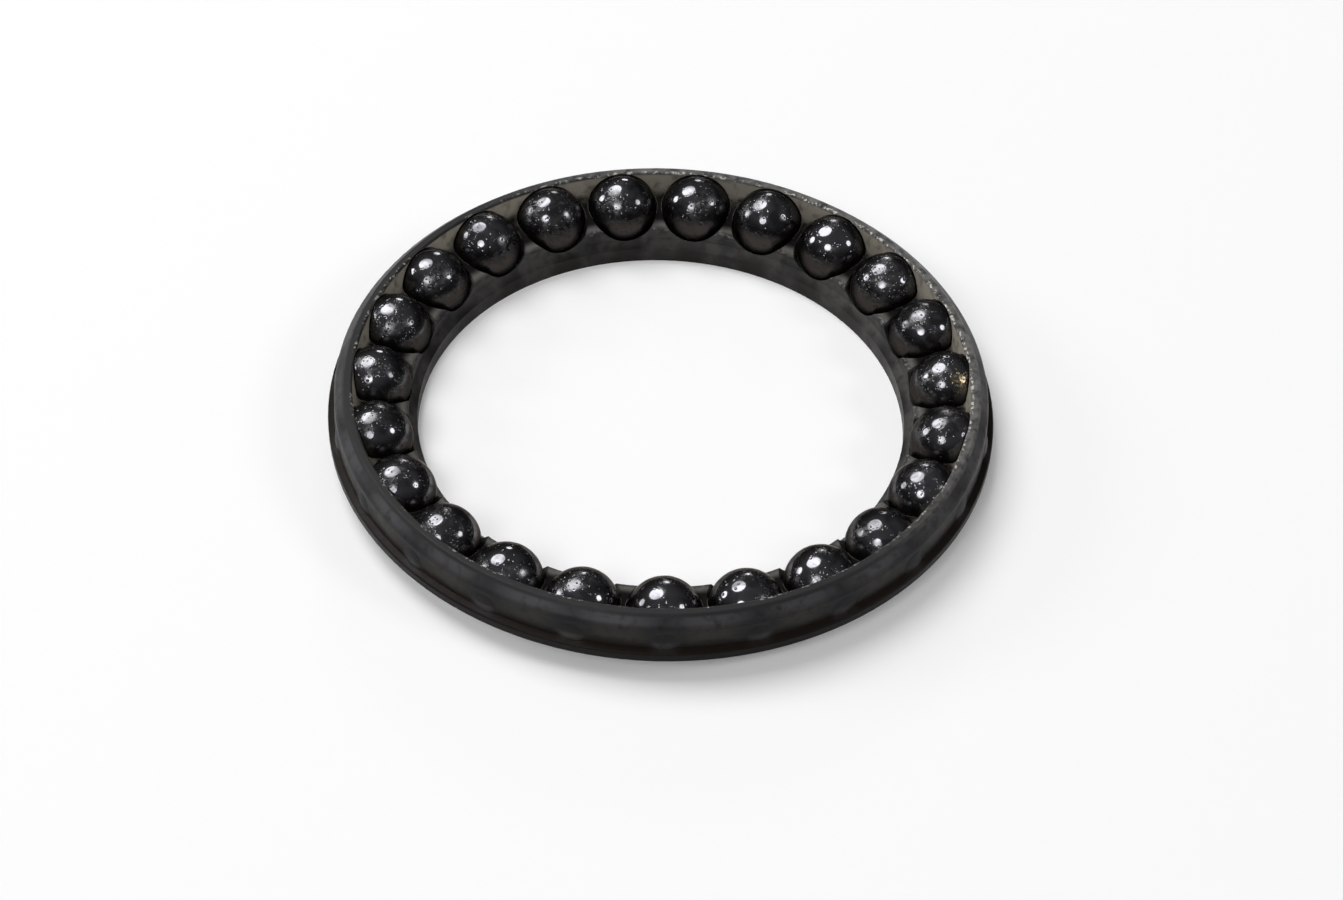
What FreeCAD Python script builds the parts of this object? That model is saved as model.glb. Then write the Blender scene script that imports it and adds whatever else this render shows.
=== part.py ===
import FreeCAD, Part
import math
import os

# Ball and cage assembly of a small angular-contact thrust bearing: one moulded
# cage ring and a full row of steel balls that it traps. All sizes are in mm.
# The origin is the centre of the cage's flat bottom face, +Z is the ring's axis.

# Balls: their size, how many fill the ring, and the gap between two neighbours
BALL_DIAMETER = 3.969
BALL_COUNT = 23
BALL_GAP = 0.32
FLOOR_GAP = 0.02

# Fit of a ball in its pocket, radial: free play in the seat, and the lip round
# the mouth that the ball snaps past. The mouth faces up and in, to the cone race.
POCKET_CLEARANCE = 0.06
SNAP_LIP = 0.065
MOUTH_TILT = 45

# Inner wall, measured from the innermost point of the balls
LAND_THICKNESS = 0.37
LAND_HEIGHT = 0.9
UPPER_WALL_RECESS = 0.085
UPPER_WALL_FOOT = 1.27
RIM_ABOVE_CENTRE = 0.02

# Web that joins the two walls: its top rises gently from the rim of the inner
# wall, its underside is a steeper cone that passes this far below the centres
WEB_TOP_SLOPE = 9
UNDERSIDE_SLOPE = 28.5
UNDERSIDE_BELOW_CENTRE = 0.925

# Outer wall, measured from the outermost point of the balls
OUTER_WALL_TOP = 0.105
OUTER_WALL_FOOT = 0.165
CREST_BELOW_BALL_TOP = 0.26
CREST_CHAMFER = 0.58
CREST_WIDTH = 0.4
INNER_FACE_DRAFT = 11

# Locating flange round the foot of the outer wall
FLANGE_REACH = 0.515
FLANGE_THICKNESS = 0.63
FLANGE_TOP_BELOW_CENTRE = 0.35
FLANGE_FOOT_BELOW_CENTRE = 0.2
FLANGE_BOTTOM_BELOW_CENTRE = 0.92

# Boss that the outer wall swells into round each ball
BOSS_SKIN = 0.21

# Roundings of the outline's corners
CREST_ROUND = 0.12
SHOULDER_ROUND = 0.45
WEB_ROOT_ROUND = 0.3
FLANGE_ROUND = 0.14

ball_radius = BALL_DIAMETER / 2
ball_step = 2 * math.pi / BALL_COUNT
pitch_radius = (BALL_DIAMETER + BALL_GAP) / (2 * math.sin(ball_step / 2))
centre_height = ball_radius + FLOOR_GAP
pocket_radius = ball_radius + POCKET_CLEARANCE
mouth_radius = ball_radius - SNAP_LIP
mouth_tilt = math.radians(MOUTH_TILT)
boss_radius = pocket_radius + BOSS_SKIN

bore_radius = pitch_radius - ball_radius - LAND_THICKNESS
upper_wall_radius = pitch_radius - ball_radius + UPPER_WALL_RECESS
rim_height = centre_height + RIM_ABOVE_CENTRE
web_rise = math.tan(math.radians(WEB_TOP_SLOPE))
underside_slope = math.radians(UNDERSIDE_SLOPE)
wall_top_radius = pitch_radius + ball_radius + OUTER_WALL_TOP
wall_foot_radius = pitch_radius + ball_radius + OUTER_WALL_FOOT
crest_radius = wall_top_radius - CREST_CHAMFER
crest_inner_radius = crest_radius - CREST_WIDTH
crest_height = centre_height + ball_radius - CREST_BELOW_BALL_TOP
shoulder_height = crest_height - CREST_CHAMFER
inner_face_lean = math.tan(math.radians(INNER_FACE_DRAFT))
flange_radius = pitch_radius + ball_radius + FLANGE_REACH
flange_inner_radius = flange_radius - FLANGE_THICKNESS
flange_top = centre_height - FLANGE_TOP_BELOW_CENTRE
flange_foot = centre_height - FLANGE_FOOT_BELOW_CENTRE
flange_bottom = centre_height - FLANGE_BOTTOM_BELOW_CENTRE

underside_drop = UNDERSIDE_BELOW_CENTRE / math.cos(underside_slope)
underside_rise = math.tan(underside_slope)
underside_at_flange = centre_height - underside_drop
underside_at_flange += (flange_inner_radius - pitch_radius) * underside_rise
heel_radius = pitch_radius - (centre_height - underside_drop) / underside_rise

# The web's top and the wall's inner face are straight lines that meet at the root
root_fall = crest_height - rim_height - (crest_inner_radius - upper_wall_radius) * web_rise
root_depth = root_fall / (1 - web_rise * inner_face_lean)
root_radius = crest_inner_radius - root_depth * inner_face_lean
root_height = crest_height - root_depth


def rounded(corner, before, after, rounding):
    """Start, middle and end of the arc that rounds a corner of an outline."""
    back = (before - corner).normalize()
    ahead = (after - corner).normalize()
    half_angle = back.getAngle(ahead) / 2
    inward = (back + ahead).normalize()
    reach = rounding / math.tan(half_angle)
    middle = corner + inward * (rounding / math.sin(half_angle) - rounding)
    return corner + back * reach, middle, corner + ahead * reach


def revolved(corners):
    """Solid ring swept by a closed outline of (radius, height, rounding) corners."""
    points = [FreeCAD.Vector(radius, 0, height) for radius, height, _ in corners]
    edges = []
    ends = []
    for index, corner in enumerate(points):
        rounding = corners[index][2]
        if rounding == 0:
            ends.append((corner, corner))
            continue
        after = points[(index + 1) % len(points)]
        arc = rounded(corner, points[index - 1], after, rounding)
        edges.append(Part.Arc(*arc).toShape())
        ends.append((arc[0], arc[2]))
    for (_, start), (end, _) in zip(ends, ends[1:] + ends[:1]):
        edges.append(Part.makeLine(start, end))
    outline = Part.Wire(Part.__sortEdges__(edges))
    return Part.Face(outline).revolve(FreeCAD.Vector(), FreeCAD.Vector(0, 0, 1), 360)


def outward(index):
    """Direction from the ring's axis to a ball, counter-clockwise from +X."""
    angle = index * ball_step
    return FreeCAD.Vector(math.cos(angle), math.sin(angle), 0)


def ball_centre(index):
    """Centre of one ball."""
    return outward(index) * pitch_radius + FreeCAD.Vector(0, 0, centre_height)


def ring_blank():
    """The cage before its pockets: inner wall, web, outer wall and flange."""
    return revolved([
        (bore_radius, 0, 0),
        (bore_radius, LAND_HEIGHT, 0),
        (upper_wall_radius, UPPER_WALL_FOOT, 0),
        (upper_wall_radius, rim_height, CREST_ROUND),
        (root_radius, root_height, WEB_ROOT_ROUND),
        (crest_inner_radius, crest_height, CREST_ROUND),
        (crest_radius, crest_height, CREST_ROUND),
        (wall_top_radius, shoulder_height, SHOULDER_ROUND),
        (wall_foot_radius, flange_foot, 0),
        (flange_radius, flange_top, FLANGE_ROUND),
        (flange_radius, flange_bottom, FLANGE_ROUND),
        (flange_inner_radius, flange_bottom, 0),
        (flange_inner_radius, underside_at_flange, 0),
        (heel_radius, 0, 0),
    ])


def boss_zone():
    """The part of the outer wall that may swell outward round a ball."""
    zone_bottom = flange_bottom + FLANGE_ROUND
    return revolved([
        (flange_inner_radius, zone_bottom, 0),
        (flange_radius, zone_bottom, 0),
        (flange_radius, shoulder_height, 0),
        (flange_inner_radius, shoulder_height, 0),
    ])


def pocket(index):
    """Room for one ball: a round seat and a mouth that leans toward the axis."""
    centre = ball_centre(index)
    lean = outward(index) * -math.sin(mouth_tilt)
    mouth_axis = lean + FreeCAD.Vector(0, 0, math.cos(mouth_tilt))
    mouth = Part.makeCylinder(mouth_radius, ball_radius, centre, mouth_axis)
    return Part.makeSphere(pocket_radius, centre).fuse(mouth)


def cage():
    """The moulded ring with a boss and a snap pocket for each ball."""
    row = range(BALL_COUNT)
    bosses = [Part.makeSphere(boss_radius, ball_centre(index)) for index in row]
    swells = boss_zone().common(Part.makeCompound(bosses))
    body = ring_blank().fuse(swells).removeSplitter()
    return body.cut([pocket(index) for index in row])


def ball(index):
    """One bearing ball."""
    return Part.makeSphere(ball_radius, ball_centre(index))


def write(name, shape):
    """Writes one node as its own STEP file."""
    shape.exportStep(os.path.join("parts", name + ".step"))


os.makedirs("parts", exist_ok=True)
write("cage", cage())
for number in range(BALL_COUNT):
    write("ball_%02d" % (number + 1), ball(number))
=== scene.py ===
"""The looks of a small thrust bearing's ball-and-cage ring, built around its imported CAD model.

The CAD cage stays as it is and gets its smoky moulded plastic. Each CAD ball is replaced
by a worn steel ball with real dents. A pale studio and a camera at the photograph's
viewing angle complete the scene. Every length is in metres unless its name ends in _mm.
"""

import logging
import math
from dataclasses import dataclass, field
from enum import Enum

import bmesh
import bpy
import numpy as np
from mathutils import Matrix, Quaternion, Vector


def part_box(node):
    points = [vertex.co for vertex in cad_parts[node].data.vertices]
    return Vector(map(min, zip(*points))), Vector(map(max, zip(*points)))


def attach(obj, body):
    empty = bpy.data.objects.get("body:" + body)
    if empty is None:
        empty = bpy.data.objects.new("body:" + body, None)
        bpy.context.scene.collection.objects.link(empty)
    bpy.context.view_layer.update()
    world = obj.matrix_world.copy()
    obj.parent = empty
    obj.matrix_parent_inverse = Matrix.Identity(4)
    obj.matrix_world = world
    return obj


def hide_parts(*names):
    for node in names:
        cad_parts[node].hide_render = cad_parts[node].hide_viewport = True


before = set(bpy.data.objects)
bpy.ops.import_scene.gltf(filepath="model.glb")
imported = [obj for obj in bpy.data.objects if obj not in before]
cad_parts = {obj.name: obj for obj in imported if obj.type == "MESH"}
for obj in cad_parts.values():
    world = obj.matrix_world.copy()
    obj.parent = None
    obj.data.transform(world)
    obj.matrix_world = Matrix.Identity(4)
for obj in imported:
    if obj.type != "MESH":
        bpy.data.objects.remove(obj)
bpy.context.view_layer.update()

log = logging.getLogger("ring")

MM = 0.001
PHOTO_WIDTH = 1343
PHOTO_HEIGHT = 900

Socket = bpy.types.NodeSocket
Colour = tuple[float, float, float]
Direction = tuple[float, float, float]

# Where the ring's outer and inner faces begin and are complete, in ball radii from the pitch circle
OUTER_FACE = (0.7, 0.76)
INNER_FACE = (-0.75, -0.92)


def shade(red: int, green: int, blue: int) -> Colour:
    """Turns a display colour, 0 to 255, into the linear colour that a shader takes.

    Args:
        red: Red as it should look on screen.
        green: Green as it should look on screen.
        blue: Blue as it should look on screen.

    Returns:
        The linear red, green and blue, 0 to 1.
    """
    knee = 0.04045
    slope = 12.92
    offset = 0.055
    power = 2.4
    linear = []
    for channel in (red, green, blue):
        value = channel / 255
        if value <= knee:
            linear.append(value / slope)
        else:
            linear.append(((value + offset) / (1 + offset)) ** power)
    return tuple(linear)


class Graph:
    """The shader nodes of one material or of the room, put together with short calls."""

    def __init__(self, owner: bpy.types.Material | bpy.types.World) -> None:
        """Clears the owner's nodes.

        Args:
            owner: The new material or world that the nodes belong to.
        """
        self.owner = owner
        self.owner.use_nodes = True
        self.tree = self.owner.node_tree
        self.tree.nodes.clear()

    @classmethod
    def material(cls, name: str) -> "Graph":
        """Starts a new material of that name."""
        return cls(bpy.data.materials.new(name))

    def node(self, kind: str, **settings: object) -> bpy.types.ShaderNode:
        """Adds one node.

        Args:
            kind: The node's type name.
            **settings: Properties to set on it.

        Returns:
            The new node.
        """
        made = self.tree.nodes.new(kind)
        for key, value in settings.items():
            setattr(made, key, value)
        return made

    def feed(self, target: Socket, value: object) -> None:
        """Links a socket into a target, or writes a plain number, colour or vector on it.

        Args:
            target: The input socket.
            value: An output socket, a number, or a sequence of numbers.
        """
        if isinstance(value, bpy.types.NodeSocket):
            self.tree.links.new(value, target)
        elif isinstance(value, (int, float)):
            target.default_value = value
        elif len(target.default_value) > len(value):
            target.default_value = (*value, 1.0)
        else:
            target.default_value = tuple(value)

    def math(self, operation: str, first: object, second: object = 0.0, clamp: bool = False) -> Socket:
        """Adds a maths node.

        Args:
            operation: The operation's name, such as ADD.
            first: The first number or socket.
            second: The second number or socket.
            clamp: Whether the result is kept within 0 to 1.

        Returns:
            The result's socket.
        """
        made = self.node("ShaderNodeMath", operation=operation, use_clamp=clamp)
        self.feed(made.inputs[0], first)
        self.feed(made.inputs[1], second)
        return made.outputs[0]

    def step(self, value: object, low: float, high: float) -> Socket:
        """Rises smoothly from 0 where value is low to 1 where it is high.

        Args:
            value: The number or socket to read.
            low: Where the result is 0. It may be the larger of the two.
            high: Where the result is 1.

        Returns:
            The result's socket.
        """
        made = self.node("ShaderNodeMapRange", interpolation_type="SMOOTHSTEP")
        self.feed(made.inputs["Value"], value)
        start, end = (0.0, 1.0) if low < high else (1.0, 0.0)
        self.feed(made.inputs["From Min"], min(low, high))
        self.feed(made.inputs["From Max"], max(low, high))
        self.feed(made.inputs["To Min"], start)
        self.feed(made.inputs["To Max"], end)
        return made.outputs["Result"]

    def band(self, value: object, low: float, high: float, soft: float) -> Socket:
        """Is 1 where value lies between low and high, and falls to 0 outside.

        Args:
            value: The number or socket to read.
            low: The band's lower end.
            high: The band's upper end.
            soft: How far each end fades.

        Returns:
            The result's socket.
        """
        rise = self.step(value, low - soft, low)
        fall = self.step(value, high + soft, high)
        return self.math("MULTIPLY", rise, fall)

    def both(self, first: object, second: object) -> Socket:
        """Multiplies two masks."""
        return self.math("MULTIPLY", first, second)

    def mix(self, share: object, low: object, high: object, strength: float = 1.0) -> Socket:
        """Blends two colours.

        Args:
            share: 0 gives low and 1 gives high.
            low: The first colour or socket.
            high: The second colour or socket.
            strength: How much of high shows where share is 1.

        Returns:
            The blended colour's socket.
        """
        if strength < 1.0:
            share = self.math("MULTIPLY", share, strength)
        made = self.node("ShaderNodeMix", data_type="RGBA")
        self.feed(made.inputs["Factor"], share)
        self.feed(made.inputs[6], low)
        self.feed(made.inputs[7], high)
        return made.outputs[2]

    def place_mm(self) -> Socket:
        """The surface point in the piece's own frame, in millimetres."""
        coordinates = self.node("ShaderNodeTexCoord")
        scaled = self.node("ShaderNodeVectorMath", operation="SCALE")
        self.feed(scaled.inputs[0], coordinates.outputs["Object"])
        self.feed(scaled.inputs["Scale"], 1 / MM)
        return scaled.outputs[0]

    def noise(self, place: Socket, scale: float, detail: float = 2.0, warp: float = 0.0) -> Socket:
        """Adds soft noise.

        Args:
            place: The point to read it at.
            scale: Features to a millimetre.
            detail: How many finer layers it has.
            warp: How much it swirls.

        Returns:
            The noise value's socket, about 0.3 to 0.7.
        """
        made = self.node("ShaderNodeTexNoise")
        self.feed(made.inputs["Vector"], place)
        self.feed(made.inputs["Scale"], scale)
        self.feed(made.inputs["Detail"], detail)
        self.feed(made.inputs["Distortion"], warp)
        return made.outputs["Fac"]

    def bump(self, height: Socket, depth_mm: float, below: object = None) -> Socket:
        """Adds a bump of real depth.

        Args:
            height: The height's socket, 0 to 1.
            depth_mm: How deep a height of 1 is.
            below: The normal of a bump that this one lies on, if any.

        Returns:
            The normal's socket.
        """
        made = self.node("ShaderNodeBump")
        self.feed(made.inputs["Height"], height)
        self.feed(made.inputs["Distance"], depth_mm * MM)
        if below is not None:
            self.feed(made.inputs["Normal"], below)
        return made.outputs["Normal"]

    def surface(self, **values: object) -> bpy.types.Material:
        """Adds the surface shader and closes the material.

        Args:
            **values: Inputs by name, with underscores for spaces.

        Returns:
            The finished material.
        """
        shader = self.node("ShaderNodeBsdfPrincipled")
        for key, value in values.items():
            self.feed(shader.inputs[key.replace("_", " ")], value)
        output = self.node("ShaderNodeOutputMaterial")
        self.feed(output.inputs["Surface"], shader.outputs[0])
        return self.owner


@dataclass(frozen=True)
class RingLayout:
    """Where the balls sit, read from the frame.

    Attributes:
        ball_nodes: The CAD balls' names, in order round the ring.
        pitch_radius: Radius of the circle of ball centres.
        centre_height: Height of the ball centres.
        ball_radius: Radius of one ball.
    """

    ball_nodes: tuple[str, ...]
    pitch_radius: float
    centre_height: float
    ball_radius: float

    @classmethod
    def read(cls) -> "RingLayout":
        """Measures the CAD balls.

        Returns:
            The layout. The first ball is on the +X axis.
        """
        names = tuple(sorted(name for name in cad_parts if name.startswith("ball_")))
        low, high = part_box(names[0])
        centre = (low + high) / 2
        return cls(names, centre.x, centre.z, (high.z - low.z) / 2)

    def centre(self, index: int) -> Vector:
        """The centre of one ball, counted from 0."""
        angle = 2 * math.pi * index / len(self.ball_nodes)
        flat = Vector((math.cos(angle), math.sin(angle), 0)) * self.pitch_radius
        return flat + Vector((0, 0, self.centre_height))


@dataclass(frozen=True)
class RingPlace:
    """Where a point of the cage lies, as sockets that read in millimetres.

    Attributes:
        point: The point itself.
        radius: Its distance from the ring's axis.
        height: Its height above the ball centres.
        away: 0 beside a ball and 0.5 midway between two.
        depth: Its distance from the nearest ball's centre.
        outside: 1 on the outer wall's outer face and the flange.
        inside: 1 on the inner wall's face toward the axis.
    """

    point: Socket
    radius: Socket
    height: Socket
    away: Socket
    depth: Socket
    outside: Socket
    inside: Socket

    @classmethod
    def read(cls, graph: Graph, layout: RingLayout) -> "RingPlace":
        """Adds the nodes that measure the place.

        Args:
            graph: The material's nodes.
            layout: Where the balls sit.

        Returns:
            The place's sockets.
        """
        pitch = layout.pitch_radius / MM
        ball = layout.ball_radius / MM
        steps = len(layout.ball_nodes) / (2 * math.pi)
        point = graph.place_mm()
        split = graph.node("ShaderNodeSeparateXYZ")
        graph.feed(split.inputs[0], point)
        x, y, z = split.outputs
        radius = graph.math("SQRT", graph.math("ADD", graph.both(x, x), graph.both(y, y)))
        height = graph.math("SUBTRACT", z, layout.centre_height / MM)
        turn = graph.math("MULTIPLY", graph.math("ARCTAN2", y, x), steps)
        away = graph.math("PINGPONG", turn, 0.5)
        angle = graph.math("DIVIDE", away, steps)
        along = graph.both(radius, graph.math("SINE", angle))
        across = graph.math("SUBTRACT", graph.both(radius, graph.math("COSINE", angle)), pitch)
        squares = graph.math("ADD", graph.both(along, along), graph.both(across, across))
        squares = graph.math("ADD", squares, graph.both(height, height))
        outside = graph.step(radius, *(pitch + share * ball for share in OUTER_FACE))
        inside = graph.step(radius, *(pitch + share * ball for share in INNER_FACE))
        return cls(point, radius, height, away, graph.math("SQRT", squares), outside, inside)


@dataclass(frozen=True)
class CagePlastic:
    """Smoky translucent moulded plastic, stained and scuffed in use, with painted shade and glow for the
    light that falls into it and passes through it.

    Attributes:
        body: The outer wall where it is thick.
        cool_tone_and_ball_shade: Colder; painted shade where a ball sits behind the outer wall, and a
            random cooler tone on the inner wall.
        haze: Paler painted glow where the outer wall has no ball behind it, standing in for light through
            the plastic.
        shoulder_light: Painted light on the bevel above the outer wall.
        glow: Painted light on the outer wall's inner face, standing in for light that comes through it.
        crest: The flat top edge.
        frost_and_sheen: Its matt stretches, worn by rubbing, painted paler where the light catches them.
        skin: The inner wall's face toward the axis.
        deep_shade: Painted shade in the deep places between the balls, under them and at the foot of the
            outer wall.
        ledge_glow: Painted light on the thin top of the inner wall, standing in for light that comes
            through it.
        pocket_glow: Painted light in the pockets, standing in for light through the plastic.
        stain_and_shade: Old brown oily dirt in patches, painted shade low on the outer wall, and a darker
            brown at the inner wall's foot.
        lens: Painted light on the bosses at the foot of the outer wall.
        glint_and_scuff: Painted glints, with pale scratches and chips, along the edges.
        rubbed_glint_side: The way from the axis to the side that rubs most and takes the painted glints.
        roughness: How matt the surface is on average.
        smear: How much that varies from smear to smear.
        matt_rise: How much more matt the outer wall is between the balls.
        shine: How strongly it reflects.
        crest_drop_mm: How far the crest's zone begins below the tops of the balls.
        pocket_play_mm: How far from a ball its pocket's wall takes the painted pocket glow.
    """

    body: Colour = shade(38, 37, 34)
    cool_tone_and_ball_shade: Colour = shade(31, 31, 35)
    haze: Colour = shade(52, 51, 49)
    shoulder_light: Colour = shade(77, 77, 80)
    glow: Colour = shade(183, 176, 161)
    crest: Colour = shade(48, 47, 47)
    frost_and_sheen: Colour = shade(112, 111, 109)
    skin: Colour = shade(76, 75, 73)
    deep_shade: Colour = shade(13, 11, 11)
    ledge_glow: Colour = shade(104, 103, 98)
    pocket_glow: Colour = shade(112, 106, 98)
    stain_and_shade: Colour = shade(29, 23, 19)
    lens: Colour = shade(64, 62, 61)
    glint_and_scuff: Colour = shade(205, 203, 196)
    rubbed_glint_side: Direction = (0.83, 0.56, 0.0)
    roughness: float = 0.42
    smear: float = 0.3
    matt_rise: float = 0.4
    shine: float = 0.12
    crest_drop_mm: float = 0.34
    pocket_play_mm: float = 0.064

    def outer(self, graph: Graph, place: RingPlace, cloud: Socket) -> Socket:
        """Colours the outer wall: painted shade where balls sit behind it and at its foot, painted glow
        between the balls, dirt and painted shade low down, and painted light on the bosses and the bevel.

        Args:
            graph: The material's nodes.
            place: Where the surface lies.
            cloud: Broad noise.

        Returns:
            The colour's socket.
        """
        # Painted shade where a ball sits behind the outer wall.
        beside = graph.both(graph.step(place.away, 0.3, 0.06), graph.step(cloud, 0.25, 0.6))
        # Painted glow between the balls, where no ball sits behind the wall.
        between = graph.both(graph.step(place.away, 0.12, 0.42), graph.step(place.height, -0.1, 0.6))
        colour = graph.mix(beside, self.body, self.cool_tone_and_ball_shade)
        colour = graph.mix(between, colour, self.haze, strength=0.8)
        # Darker low on the outer wall: brown dirt and painted shade.
        edge = graph.math("ADD", place.height, cloud)
        colour = graph.mix(graph.step(edge, 0.85, 0.4), colour, self.stain_and_shade)
        # Painted light on the bosses.
        boss = graph.both(graph.band(place.height, -0.12, 0.1, 0.3), graph.step(place.away, 0.2, 0.04))
        colour = graph.mix(graph.both(boss, graph.step(cloud, 0.75, 0.4)), colour, self.lens)
        # Painted shade at the foot of the outer wall.
        foot = graph.step(place.height, -0.3, -0.5)
        colour = graph.mix(foot, colour, self.deep_shade, strength=0.9)
        # Painted light on the bevel, strongest between the balls.
        slope = graph.both(graph.step(place.height, 0.95, 1.4), graph.step(place.away, -0.3, 0.5))
        return graph.mix(slope, colour, self.shoulder_light, strength=0.8)

    def inner(self, graph: Graph, place: RingPlace, cloud: Socket) -> Socket:
        """Colours the inner wall, with painted shade under each ball and a darker brown at its foot.

        Args:
            graph: The material's nodes.
            place: Where the surface lies.
            cloud: Broad noise.

        Returns:
            The colour's socket.
        """
        colour = graph.mix(graph.step(cloud, 0.45, 0.65), self.skin, self.cool_tone_and_ball_shade, strength=0.6)
        # Painted shade on the inner wall under each ball.
        below = graph.both(graph.step(place.away, 0.34, 0.12), graph.step(place.height, -0.7, -1.1))
        colour = graph.mix(below, colour, self.deep_shade, strength=0.7)
        # Darker brown towards the inner wall's foot.
        foot = graph.step(place.height, -0.7, -1.2)
        return graph.mix(foot, colour, self.stain_and_shade, strength=0.45)

    def tones(self, graph: Graph, place: RingPlace, layout: RingLayout) -> Socket:
        """Colours the plastic: painted shade in the deep places, painted glow on the thin walls and in
        the pockets, the outer and inner walls, dirt, and the crest.

        Args:
            graph: The material's nodes.
            place: Where the surface lies.
            layout: Where the balls sit.

        Returns:
            The colour's socket.
        """
        ball = layout.ball_radius / MM
        pitch = layout.pitch_radius / MM
        cloud = graph.noise(place.point, scale=0.45, detail=3.0, warp=0.5)
        mottle = graph.noise(place.point, scale=1.9, detail=4.0)
        ragged = graph.math("ADD", place.height, graph.math("MULTIPLY", mottle, 0.5))
        # The side that rubs most, which takes the painted glints.
        side = self.rubbed_glint(graph, place)
        # Painted glow, weaker on the side that rubs most.
        glow = graph.mix(side, self.glow, self.skin, strength=0.4)
        # Painted deep shade low down between the balls, painted glow higher up.
        colour = graph.mix(graph.step(ragged, 0.62, 1.0), self.deep_shade, glow)
        # Painted glow on the thin top of the inner wall.
        ledge_glow = graph.step(place.radius, pitch - 0.55 * ball, pitch - 0.85 * ball)
        ledge_glow = graph.both(ledge_glow, graph.step(place.height, -0.2, 0.0))
        colour = graph.mix(ledge_glow, colour, self.ledge_glow)
        colour = graph.mix(place.outside, colour, self.outer(graph, place, cloud))
        colour = graph.mix(place.inside, colour, self.inner(graph, place, cloud))
        colour = graph.mix(graph.step(mottle, 0.45, 0.75), colour, self.stain_and_shade, strength=0.5)
        crest_start = ball - self.crest_drop_mm
        top = graph.step(place.height, crest_start - 0.12, crest_start)
        # The crest, paler on the side that rubs most: wear and painted sheen.
        rubbed_glint = graph.both(side, graph.step(mottle, 0.2, 0.7))
        colour = graph.mix(top, colour, graph.mix(rubbed_glint, self.crest, self.frost_and_sheen))
        # Painted glow in the pockets.
        pocket = ball + self.pocket_play_mm
        pocket_glow = graph.step(place.depth, pocket + 0.014, pocket)
        return graph.mix(pocket_glow, colour, self.pocket_glow)

    def rubbed_glint(self, graph: Graph, place: RingPlace) -> Socket:
        """Finds the side of the ring that rubs most and takes the painted glints and sheen.

        Args:
            graph: The material's nodes.
            place: Where the surface lies.

        Returns:
            A mask, 1 on that side.
        """
        toward = graph.node("ShaderNodeVectorMath", operation="DOT_PRODUCT")
        graph.feed(toward.inputs[0], place.point)
        graph.feed(toward.inputs[1], self.rubbed_glint_side)
        return graph.step(graph.math("DIVIDE", toward.outputs["Value"], place.radius), -0.1, 0.7)

    def glints_and_scuffs(self, graph: Graph, place: RingPlace, layout: RingLayout) -> Socket:
        """Finds the painted glints, with pale chips and scratches, along the crest's inner edge and the
        inner rim.

        Args:
            graph: The material's nodes.
            place: Where the surface lies.
            layout: Where the balls sit.

        Returns:
            A mask, 1 where the surface is scuffed.
        """
        pitch = layout.pitch_radius / MM
        ball = layout.ball_radius / MM
        crest = graph.band(place.height, ball - self.crest_drop_mm, ball, soft=0.05)
        crest = graph.both(crest, graph.band(place.radius, pitch + 1.08, pitch + 1.2, soft=0.08))
        rim = graph.both(graph.band(place.height, -0.06, 0.06, soft=0.05), place.inside)
        edges = graph.math("ADD", crest, graph.math("MULTIPLY", rim, 0.25), clamp=True)
        specks = graph.step(graph.noise(place.point, scale=5.0, detail=3.0), 0.52, 0.64)
        run = graph.step(graph.noise(place.point, scale=0.35, detail=1.0), 0.46, 0.62)
        run = graph.math("MAXIMUM", graph.both(run, 0.6), self.rubbed_glint(graph, place))
        return graph.both(edges, graph.both(specks, run))

    def material(self, layout: RingLayout) -> bpy.types.Material:
        """Makes the shader.

        Args:
            layout: Where the balls sit behind the walls.

        Returns:
            The material.
        """
        graph = Graph.material("cage_plastic")
        place = RingPlace.read(graph, layout)
        glint_marks = self.glints_and_scuffs(graph, place, layout)
        # Painted glints, with pale chips and scratches, along the edges.
        colour = graph.mix(glint_marks, self.tones(graph, place, layout), self.glint_and_scuff)
        ripple = graph.noise(place.point, scale=1.3)
        grain = graph.noise(place.point, scale=16.0)
        normal = graph.bump(ripple, depth_mm=0.02)
        normal = graph.bump(grain, depth_mm=0.003, below=normal)
        smears = graph.noise(place.point, scale=2.2, detail=3.0, warp=0.8)
        rough = graph.math("MULTIPLY", smears, self.smear)
        matt = graph.both(graph.band(place.height, -0.1, 0.5, soft=0.2), graph.step(place.away, 0.1, 0.3))
        matt = graph.both(matt, graph.step(place.outside, 1.0, 0.0))
        rough = graph.math("ADD", rough, graph.math("MULTIPLY", matt, self.matt_rise))
        return graph.surface(
            Base_Color=colour,
            Roughness=graph.math("ADD", rough, self.roughness - self.smear / 2, clamp=True),
            Specular_IOR_Level=self.shine,
            Normal=normal,
        )


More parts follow.
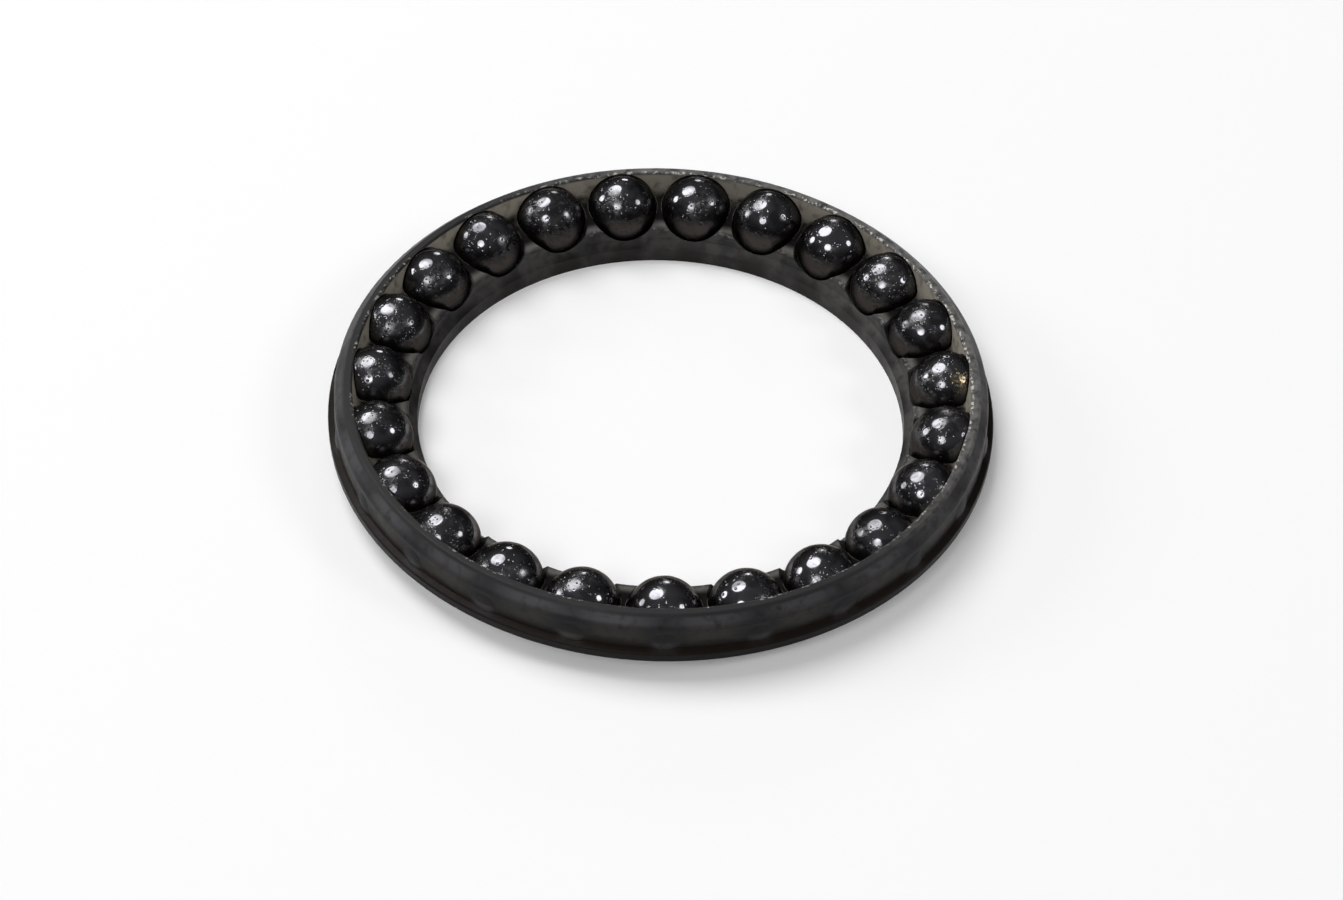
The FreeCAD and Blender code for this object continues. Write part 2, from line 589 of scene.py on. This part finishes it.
@dataclass(frozen=True)
class BallSteel:
    """Bearing steel gone dark: pitted, worn matt in patches, and darker below, from an oily film and a
    painted dimmer reflection.

    Attributes:
        metal: The steel's colour face on.
        edge: Its tint where it is seen at a glance.
        dull: Its colour in the dark patches.
        worn: Its colour in the matt patches.
        grease_and_dim_reflection: The brown film on the half that sits in the pocket, darker as a painted
            dimmer reflection there.
        rust: The spots on a ball that has begun to rust.
        polish: How matt the best of the surface is.
        pit_depth_mm: How deep the coarse pits are.
        fine_pit_depth_mm: How deep the fine pits are.
        grease_and_dim_top: Where the film and its painted dimming end, as a share of the radius above the
            centre.
        oil: How much of a thin oily haze lies over all of it.
        oil_roughness: How wide the haze spreads the light.
        pattern_spread_mm: How far apart the balls read their patterns, so that no two match.
    """

    metal: Colour = shade(109, 109, 113)
    edge: Colour = shade(150, 145, 138)
    dull: Colour = shade(64, 64, 67)
    worn: Colour = shade(100, 99, 100)
    grease_and_dim_reflection: Colour = shade(47, 42, 39)
    rust: Colour = shade(190, 168, 124)
    polish: float = 0.08
    pit_depth_mm: float = 0.03
    fine_pit_depth_mm: float = 0.021
    grease_and_dim_top: float = 0.45
    oil: float = 0.25
    oil_roughness: float = 0.45
    pattern_spread_mm: float = 70.0

    def pits(self, graph: Graph, point: Socket, scale: float, width: float, bare: float) -> Socket:
        """Scatters small round pits over some of the cells of a pattern.

        Args:
            graph: The material's nodes.
            point: The point to read them at.
            scale: Cells to a millimetre, each way.
            width: A pit's radius, in cells.
            bare: Share of the cells without a pit.

        Returns:
            The depth, 1 at a pit's bottom and 0 on the clean surface.
        """
        cells = graph.node("ShaderNodeTexVoronoi")
        graph.feed(cells.inputs["Vector"], point)
        graph.feed(cells.inputs["Scale"], scale)
        pit = graph.step(cells.outputs["Distance"], width, 0.0)
        chosen = graph.math("GREATER_THAN", cells.outputs["Color"], bare)
        return graph.both(pit, chosen)

    def rusted(self, graph: Graph, local: Socket, spot: Vector) -> Socket:
        """Finds the rust specks round one spot.

        Args:
            graph: The material's nodes.
            local: The surface point, in millimetres.
            spot: The middle of the rusty patch, in the ball's own frame, in metres.

        Returns:
            A mask, 1 on a speck of rust.
        """
        reach = graph.node("ShaderNodeVectorMath", operation="DISTANCE")
        graph.feed(reach.inputs[0], local)
        graph.feed(reach.inputs[1], spot / MM)
        patch = graph.step(reach.outputs["Value"], 0.75, 0.3)
        return graph.both(patch, graph.step(graph.noise(local, scale=6.5), 0.46, 0.58))

    def material(self, radius: float, spot: Vector | None = None) -> bpy.types.Material:
        """Makes the shader.

        Args:
            radius: The ball's radius.
            spot: Where the ball has rusted, if it has.

        Returns:
            The material.
        """
        graph = Graph.material("ball_steel" if spot is None else "ball_steel_rusty")
        local = graph.place_mm()
        split = graph.node("ShaderNodeSeparateXYZ")
        graph.feed(split.inputs[0], local)
        height = graph.math("DIVIDE", split.outputs["Z"], radius / MM)
        own = graph.node("ShaderNodeVectorMath", operation="ADD")
        graph.feed(own.inputs[0], local)
        chance = graph.node("ShaderNodeObjectInfo").outputs["Random"]
        graph.feed(own.inputs[1], graph.math("MULTIPLY", chance, self.pattern_spread_mm))
        point = own.outputs[0]

        haze = graph.step(graph.noise(point, scale=0.7, detail=4.0, warp=0.8), 0.4, 0.66)
        mottle = graph.noise(point, scale=3.0, detail=4.0, warp=0.5)
        worn = graph.both(haze, graph.step(mottle, 0.3, 0.68))
        dull = graph.step(graph.noise(point, scale=0.9, detail=3.0, warp=1.2), 0.4, 0.68)
        # Darker lower half: an oily film and a painted dimmer reflection.
        ragged = graph.math("SUBTRACT", height, graph.math("MULTIPLY", mottle, 0.3))
        grease_and_dim_mask = graph.step(ragged, self.grease_and_dim_top - 0.02, self.grease_and_dim_top - 0.34)
        colour = graph.mix(dull, self.metal, self.dull)
        colour = graph.mix(worn, colour, self.worn)
        colour = graph.mix(grease_and_dim_mask, colour, self.grease_and_dim_reflection, strength=0.95)
        if spot is not None:
            colour = graph.mix(self.rusted(graph, local, spot), colour, self.rust)

        coarse = self.pits(graph, point, scale=2.6, width=0.26, bare=0.45)
        fine = self.pits(graph, point, scale=5.2, width=0.38, bare=0.3)
        fine = graph.both(fine, graph.step(haze, 0.0, 0.5))
        normal = graph.bump(graph.math("SUBTRACT", 1.0, coarse), self.pit_depth_mm)
        normal = graph.bump(graph.math("SUBTRACT", 1.0, fine), self.fine_pit_depth_mm, normal)
        rough = graph.math("ADD", graph.math("MULTIPLY", worn, 0.32), self.polish)
        rough = graph.math("ADD", rough, graph.math("MULTIPLY", grease_and_dim_mask, 0.2), clamp=True)
        return graph.surface(
            Base_Color=colour,
            Metallic=1.0,
            Roughness=rough,
            Specular_Tint=self.edge,
            Coat_Weight=self.oil,
            Coat_Roughness=self.oil_roughness,
            Normal=normal,
        )


@dataclass
class BallRow:
    """The row of steel balls, each a fine mesh with its own dents.

    Attributes:
        layout: Where the balls sit.
        finish: What they are made of.
        cuts: How many times each face of the starting cube is divided.
        dents: How many dents a ball has.
        dent_depth: Depth of the deepest dent.
        shallowest: The shallowest dent's depth, as a share of that.
        dent_width: Widest half angle of a dent, in radians.
        narrowest: The narrowest dent's width, as a share of that.
        seed: Start of the random draws.
        rusty_ball: Which ball has begun to rust, counted from 0.
        rust_spot: The way from its centre to the rust.
    """

    layout: RingLayout
    finish: BallSteel = field(default_factory=BallSteel)
    cuts: int = 30
    dents: int = 26
    dent_depth: float = 0.012 * MM
    shallowest: float = 0.3
    dent_width: float = 0.1
    narrowest: float = 0.4
    seed: int = 23
    rusty_ball: int = 0
    rust_spot: Vector = field(default_factory=lambda: Vector((0.28, -0.55, 0.78)))

    def sphere(self) -> bpy.types.Mesh:
        """Makes one smooth ball of even squares, centred on the origin.

        Returns:
            The mesh.
        """
        mesh = bpy.data.meshes.new("ball")
        shell = bmesh.new()
        bmesh.ops.create_cube(shell, size=2.0)
        bmesh.ops.subdivide_edges(shell, edges=shell.edges[:], cuts=self.cuts, use_grid_fill=True)
        for vertex in shell.verts:
            even = Vector(math.tan(part * math.pi / 4) for part in vertex.co)
            vertex.co = even.normalized() * self.layout.ball_radius
        for face in shell.faces:
            face.smooth = True
        shell.to_mesh(mesh)
        shell.free()
        return mesh

    def dent(self, mesh: bpy.types.Mesh, random: np.random.Generator) -> None:
        """Presses the dents into a ball.

        Args:
            mesh: The ball's mesh.
            random: The source of the dents' places and sizes.
        """
        points = np.empty(len(mesh.vertices) * 3)
        mesh.vertices.foreach_get("co", points)
        points = points.reshape(-1, 3)
        outward = points / self.layout.ball_radius
        sunk = np.zeros(len(points))
        for _ in range(self.dents):
            centre = random.normal(size=3)
            centre /= np.linalg.norm(centre)
            width = self.dent_width * random.uniform(self.narrowest, 1.0)
            depth = self.dent_depth * random.uniform(self.shallowest, 1.0)
            away = np.arccos(np.clip(outward @ centre, -1, 1)) / width
            sunk = np.maximum(sunk, depth * np.clip(1 - away**2, 0, 1) ** 2)
        points -= outward * sunk[:, None]
        mesh.vertices.foreach_set("co", points.ravel())
        mesh.update()

    def build(self) -> None:
        """Builds every ball on its CAD body."""
        radius = self.layout.ball_radius
        steel = self.finish.material(radius)
        rusty = self.finish.material(radius, self.rust_spot.normalized() * radius)
        random = np.random.default_rng(self.seed)
        for index, node in enumerate(self.layout.ball_nodes):
            mesh = self.sphere()
            self.dent(mesh, random)
            mesh.materials.append(rusty if index == self.rusty_ball else steel)
            ball = bpy.data.objects.new("steel_" + node, mesh)
            bpy.context.scene.collection.objects.link(ball)
            ball.location = self.layout.centre(index)
            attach(ball, node)
            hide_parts(node)
            log.info("built %s", ball.name)


@dataclass
class Cage:
    """The moulded ring, kept from the CAD model.

    Attributes:
        layout: Where the balls sit.
        finish: What it is made of.
    """

    layout: RingLayout
    finish: CagePlastic = field(default_factory=CagePlastic)

    def dress(self) -> None:
        """Gives the CAD cage its plastic."""
        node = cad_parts["cage"]
        node.material_slots[0].material = self.finish.material(self.layout)
        log.info("dressed %s", node.name)


class LampRole(Enum):
    """What each studio lamp does."""

    MAIN = "main"
    FRONT = "front"
    BACK = "back"
    LEFT = "left"
    RIGHT = "right"


@dataclass(frozen=True)
class Lamp:
    """One soft round studio lamp.

    Attributes:
        role: What it does.
        direction: Toward it, from the ring, with the camera looking along +Y.
        width_deg: How wide it looks from the ring.
        share: Its part of the light on the floor.
    """

    role: LampRole
    direction: Direction
    width_deg: float
    share: float


@dataclass
class Studio:
    """Pale floor, soft lamps, dim room and the camera.

    Attributes:
        layout: Where the ring lies.
        floor_size: Side of the square floor.
        floor_colour: The floor's colour.
        floor_lift: How much whiter the floor looks than it is lit, as a bright sweep does.
        ceiling_colour: What the ring sees overhead where no lamp is.
        horizon_colour: What it sees round about.
        ceiling_rise: The heights between which the room lightens, 0 level and 1 overhead.
        lamp_distance: From the ring to each lamp.
        turn_deg: How far the photograph's frame is turned about the ring's axis.
        camera_distance: From the middle of the ring to the camera.
        elevation_deg: The camera's height above the horizon.
        roll_deg: How far the camera leans.
        focal_px: Focal length in pixels of the photograph.
        middle_px: Where the photograph shows the middle of the ring.
        sensor_mm: Width of the camera's sensor.
    """

    layout: RingLayout
    floor_size: float = 4.0
    floor_colour: Colour = shade(236, 236, 236)
    floor_lift: float = 0.18
    ceiling_colour: Colour = shade(106, 106, 108)
    horizon_colour: Colour = shade(46, 46, 48)
    ceiling_rise: tuple[float, float] = (0.15, 0.95)
    lamp_distance: float = 0.9
    turn_deg: float = 5.69
    camera_distance: float = 0.1748
    elevation_deg: float = 44.8
    roll_deg: float = 1.8
    focal_px: float = 3185.7
    middle_px: tuple[float, float] = (661.5, 398.0)
    sensor_mm: float = 36.0
    lamps: tuple[Lamp, ...] = (
        Lamp(LampRole.MAIN, (-0.37, 0.38, 0.85), 36.0, 0.56),
        Lamp(LampRole.FRONT, (-0.29, -0.59, 0.75), 22.0, 0.19),
        Lamp(LampRole.LEFT, (-0.89, 0.21, 0.40), 17.0, 0.062),
        Lamp(LampRole.RIGHT, (0.78, -0.12, 0.61), 15.0, 0.07),
        Lamp(LampRole.BACK, (0.04, 0.94, 0.35), 10.0, 0.022),
    )

    def turned(self, direction: Vector) -> Vector:
        """Turns a direction of the photograph's frame into the ring's frame."""
        return Matrix.Rotation(-math.radians(self.turn_deg), 3, "Z") @ direction

    def floor(self) -> None:
        """Lays the floor that the ring stands on."""
        mesh = bpy.data.meshes.new("floor")
        sheet = bmesh.new()
        bmesh.ops.create_grid(sheet, x_segments=1, y_segments=1, size=self.floor_size / 2)
        sheet.to_mesh(mesh)
        sheet.free()
        graph = Graph.material("floor_paper")
        path = graph.node("ShaderNodeLightPath")
        seen = graph.math("ADD", path.outputs["Is Camera Ray"], path.outputs["Is Glossy Ray"])
        seen = graph.math("ADD", seen, path.outputs["Is Transmission Ray"], clamp=True)
        mesh.materials.append(
            graph.surface(
                Base_Color=self.floor_colour,
                Roughness=1.0,
                Specular_IOR_Level=0.0,
                Emission_Color=(1.0, 1.0, 1.0),
                Emission_Strength=graph.math("MULTIPLY", seen, self.floor_lift),
            )
        )
        floor = bpy.data.objects.new("floor", mesh)
        bpy.context.scene.collection.objects.link(floor)

    def light(self) -> None:
        """Hangs the lamps."""
        for lamp in self.lamps:
            direction = self.turned(Vector(lamp.direction).normalized())
            data = bpy.data.lights.new(lamp.role.value, "AREA")
            data.shape = "DISK"
            data.size = 2 * self.lamp_distance * math.tan(math.radians(lamp.width_deg / 2))
            data.energy = lamp.share * (math.pi * self.lamp_distance) ** 2 / direction.z
            holder = bpy.data.objects.new(lamp.role.value + "_lamp", data)
            holder.location = direction * self.lamp_distance
            holder.rotation_euler = direction.to_track_quat("Z", "Y").to_euler()
            bpy.context.scene.collection.objects.link(holder)

    def room(self) -> None:
        """Surrounds the ring with a dim room that is lighter overhead."""
        world = bpy.data.worlds.new("room")
        graph = Graph(world)
        split = graph.node("ShaderNodeSeparateXYZ")
        graph.feed(split.inputs[0], graph.node("ShaderNodeTexCoord").outputs["Generated"])
        overhead = graph.step(split.outputs["Z"], *self.ceiling_rise)
        light = graph.node("ShaderNodeBackground")
        graph.feed(light.inputs["Color"], graph.mix(overhead, self.horizon_colour, self.ceiling_colour))
        output = graph.node("ShaderNodeOutputWorld")
        graph.feed(output.inputs["Surface"], light.outputs[0])
        bpy.context.scene.world = world

    def camera(self) -> None:
        """Puts the camera where the photograph was taken from."""
        middle = Vector((0, 0, self.layout.centre_height))
        lift = math.radians(self.elevation_deg)
        back = self.turned(Vector((0, -math.cos(lift), math.sin(lift))))
        data = bpy.data.cameras.new("camera")
        data.sensor_width = self.sensor_mm
        data.lens = self.focal_px / PHOTO_WIDTH * self.sensor_mm
        data.clip_start = self.camera_distance / 10
        data.clip_end = self.floor_size * 2
        right_px = self.middle_px[0] - PHOTO_WIDTH / 2
        up_px = PHOTO_HEIGHT / 2 - self.middle_px[1]
        aim = (-back).to_track_quat("-Z", "Y")
        roll = Quaternion((0, 0, 1), math.radians(self.roll_deg))
        down = Quaternion((1, 0, 0), -math.atan2(up_px, self.focal_px))
        across = Quaternion((0, 1, 0), math.atan2(right_px, self.focal_px))
        camera = bpy.data.objects.new("camera", data)
        camera.location = middle + back * self.camera_distance
        camera.rotation_mode = "QUATERNION"
        camera.rotation_quaternion = aim @ roll @ across @ down
        bpy.context.scene.collection.objects.link(camera)
        bpy.context.scene.camera = camera

    def build(self) -> None:
        """Builds the whole studio."""
        self.floor()
        self.light()
        self.room()
        self.camera()
        scene = bpy.context.scene
        scene.view_settings.view_transform = "Standard"
        log.info("built the studio with %d lamps", len(self.lamps))


def main() -> None:
    """Builds the ring and its studio."""
    logging.basicConfig(level=logging.INFO, format="%(name)s: %(message)s")
    layout = RingLayout.read()
    Cage(layout).dress()
    BallRow(layout).build()
    Studio(layout).build()


if __name__ == "__main__":
    main()
